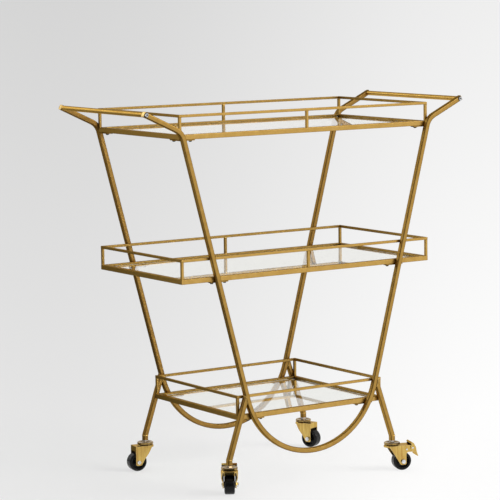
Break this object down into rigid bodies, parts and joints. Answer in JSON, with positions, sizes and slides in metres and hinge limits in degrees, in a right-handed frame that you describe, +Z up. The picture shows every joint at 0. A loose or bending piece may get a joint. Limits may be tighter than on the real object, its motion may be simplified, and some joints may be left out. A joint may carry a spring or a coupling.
{
  "type": "bar cart",
  "caption": "Tiered bar cart with bent square tube side frames, glass trays with gallery rails, round push handles and swivel casters with front brakes.",
  "frame": {"origin": "on the floor, at the centre of the cart's footprint", "axes": "+X along the cart from handle to handle, +Y towards its rear, +Z up"},
  "size_m": [0.948, 0.4547, 0.941],
  "materials": {
    "antique_gold": "satin brushed gold lacquer with darker edges",
    "bright_brass": "polished",
    "zinc_steel": "bright zinc plate",
    "dark_steel": "blackened",
    "ball_steel": "polished",
    "tray_glass": "clear, polished edges",
    "pad_rubber": "matt",
    "yellow_zinc": "yellow zinc plate",
    "black_wheel": "smooth black"
  },
  "bodies": {
    "cart": {"front_frame_tube": "antique_gold", "rear_frame_tube": "antique_gold", "front_left_leg": "antique_gold", "front_right_leg": "antique_gold", "rear_left_leg": "antique_gold", "rear_right_leg": "antique_gold", "left_handle": "antique_gold", "right_handle": "antique_gold", "front_tray_brackets": "antique_gold", "rear_tray_brackets": "antique_gold", "arm_end_caps": "bright_brass", "leg_inserts": "zinc_steel", "handle_screws": "zinc_steel", "top_tray_rails": "antique_gold", "top_gallery_bars": "antique_gold", "top_gallery_posts": "antique_gold", "top_glass_tabs": "antique_gold", "top_glass_pads": "pad_rubber", "top_glass": "tray_glass", "top_tray_bolts": "dark_steel", "middle_tray_rails": "antique_gold", "middle_gallery_bars": "antique_gold", "middle_gallery_posts": "antique_gold", "middle_glass_tabs": "antique_gold", "middle_glass_pads": "pad_rubber", "middle_glass": "tray_glass", "middle_tray_bolts": "dark_steel", "bottom_tray_rails": "antique_gold", "bottom_gallery_bars": "antique_gold", "bottom_gallery_posts": "antique_gold", "bottom_glass_tabs": "antique_gold", "bottom_glass_pads": "pad_rubber", "bottom_glass": "tray_glass", "bottom_tray_bolts": "dark_steel", "caster_stems": "zinc_steel", "caster_nuts": "zinc_steel", "caster_cups": "yellow_zinc", "caster_balls": "ball_steel"},
    "front_left_swivel_fork": {"front_left_fork": "yellow_zinc", "front_left_axle": "zinc_steel", "front_left_brake_pins": "zinc_steel", "front_left_brake_leaf": "dark_steel"},
    "front_left_rolling_wheel": {"front_left_wheel": "black_wheel"},
    "front_left_brake": {"front_left_brake_pedal": "yellow_zinc"},
    "front_right_swivel_fork": {"front_right_fork": "yellow_zinc", "front_right_axle": "zinc_steel", "front_right_brake_pins": "zinc_steel", "front_right_brake_leaf": "dark_steel"},
    "front_right_rolling_wheel": {"front_right_wheel": "black_wheel"},
    "front_right_brake": {"front_right_brake_pedal": "yellow_zinc"},
    "rear_left_swivel_fork": {"rear_left_fork": "yellow_zinc", "rear_left_axle": "zinc_steel"},
    "rear_left_rolling_wheel": {"rear_left_wheel": "black_wheel"},
    "rear_right_swivel_fork": {"rear_right_fork": "yellow_zinc", "rear_right_axle": "zinc_steel"},
    "rear_right_rolling_wheel": {"rear_right_wheel": "black_wheel"}
  },
  "joints": [
    {"name": "front_left_swivel", "type": "hinge", "parent": "cart", "child": "front_left_swivel_fork", "pos_m": [-0.2465, -0.195, 0.0669], "axis": [0, 0, 1], "continuous": true},
    {"name": "front_left_roll", "type": "hinge", "parent": "front_left_swivel_fork", "child": "front_left_rolling_wheel", "pos_m": [-0.23316, -0.17445, 0.0235], "axis": [-0.8387, 0.5446, 0], "continuous": true},
    {"name": "front_left_brake_press", "type": "hinge", "parent": "front_left_swivel_fork", "child": "front_left_brake", "pos_m": [-0.21981, -0.1539, 0.0575], "axis": [-0.8387, 0.5446, 0], "range_deg": [0, 20]},
    {"name": "front_right_swivel", "type": "hinge", "parent": "cart", "child": "front_right_swivel_fork", "pos_m": [0.2465, -0.195, 0.0669], "axis": [0, 0, 1], "continuous": true},
    {"name": "front_right_roll", "type": "hinge", "parent": "front_right_swivel_fork", "child": "front_right_rolling_wheel", "pos_m": [0.26966, -0.20298, 0.0235], "axis": [0.3256, 0.9455, 0], "continuous": true},
    {"name": "front_right_brake_press", "type": "hinge", "parent": "front_right_swivel_fork", "child": "front_right_brake", "pos_m": [0.29283, -0.21095, 0.0575], "axis": [0.3256, 0.9455, 0], "range_deg": [0, 20]},
    {"name": "rear_left_swivel", "type": "hinge", "parent": "cart", "child": "rear_left_swivel_fork", "pos_m": [-0.2465, 0.195, 0.0669], "axis": [0, 0, 1], "continuous": true},
    {"name": "rear_left_roll", "type": "hinge", "parent": "rear_left_swivel_fork", "child": "rear_left_rolling_wheel", "pos_m": [-0.27076, 0.19841, 0.0235], "axis": [-0.1392, -0.9903, 0], "continuous": true},
    {"name": "rear_right_swivel", "type": "hinge", "parent": "cart", "child": "rear_right_swivel_fork", "pos_m": [0.2465, 0.195, 0.0669], "axis": [0, 0, 1], "continuous": true},
    {"name": "rear_right_roll", "type": "hinge", "parent": "rear_right_swivel_fork", "child": "rear_right_rolling_wheel", "pos_m": [0.25568, 0.17228, 0.0235], "axis": [0.9272, 0.3746, 0], "continuous": true}
  ]
}
